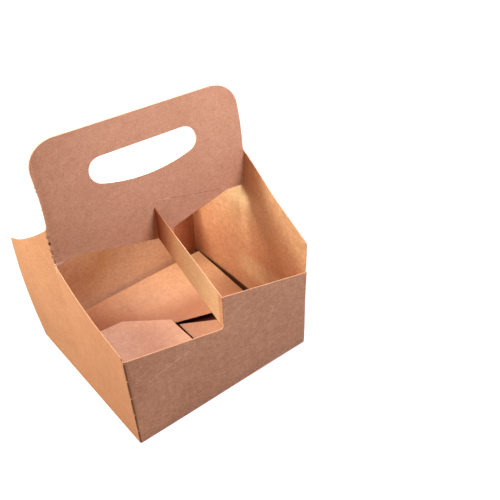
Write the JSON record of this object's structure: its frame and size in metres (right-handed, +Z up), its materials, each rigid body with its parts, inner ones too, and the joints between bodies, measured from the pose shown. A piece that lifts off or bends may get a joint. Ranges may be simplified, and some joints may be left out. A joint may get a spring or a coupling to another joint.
{
  "type": "cardboard cup carrier",
  "caption": "Folded kraft board carrier for drink cups, with an open box below, a crash-lock bottom, dividers and a centre handle panel with a hand hole.",
  "frame": {"origin": "centre of the base on the table, at the bottom centre of the bounding box", "axes": "+X along the handle, +Y from the front wall to the back wall, +Z up"},
  "size_m": [0.1706, 0.1624, 0.224],
  "materials": {
    "kraft_board": "uncoated natural kraft board, matte, with pale cut edges"
  },
  "bodies": {
    "root": {"carrier": "kraft_board"}
  },
  "joints": []
}
